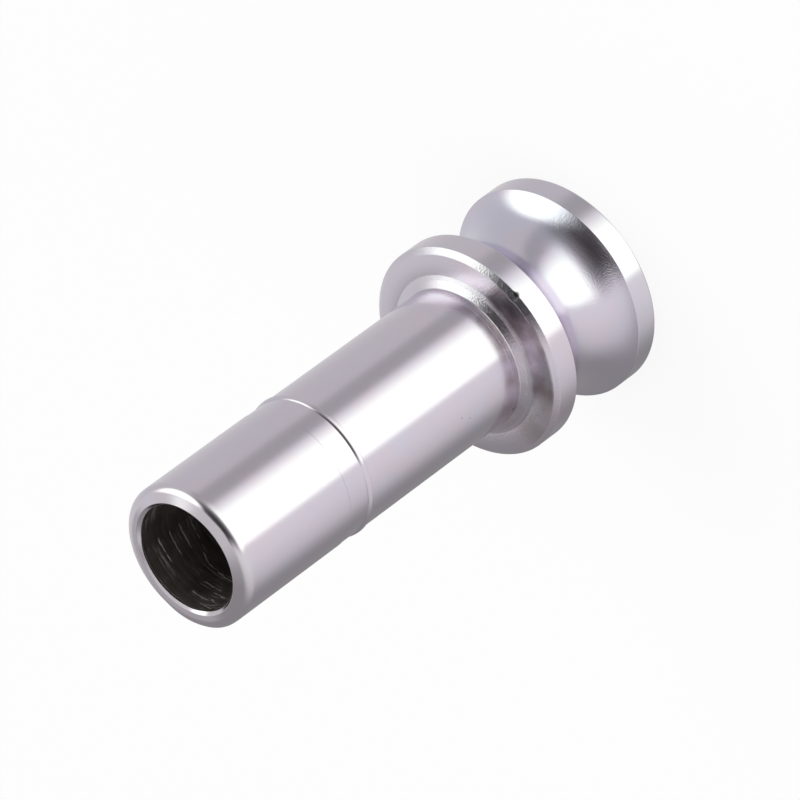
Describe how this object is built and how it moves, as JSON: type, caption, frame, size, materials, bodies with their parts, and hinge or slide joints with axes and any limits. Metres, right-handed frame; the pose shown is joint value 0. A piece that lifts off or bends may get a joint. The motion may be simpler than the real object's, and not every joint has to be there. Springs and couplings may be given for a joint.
{
  "type": "push-in blanking plug",
  "caption": "Blanking plug for push-in tube fittings: a hollow round stem with a fine bead, a flange that stops it, a waisted neck and a flat round head to pull it by.",
  "frame": {"origin": "centre of the head's flat end face, on which the plug stands", "axes": "+Z along the plug's axis, from the head to the stem's open end; X and Y are any two directions across it"},
  "size_m": [0.012, 0.012, 0.0299],
  "materials": {
    "nickel_plate": "polished"
  },
  "bodies": {
    "root": {"plug": "nickel_plate"}
  },
  "joints": []
}
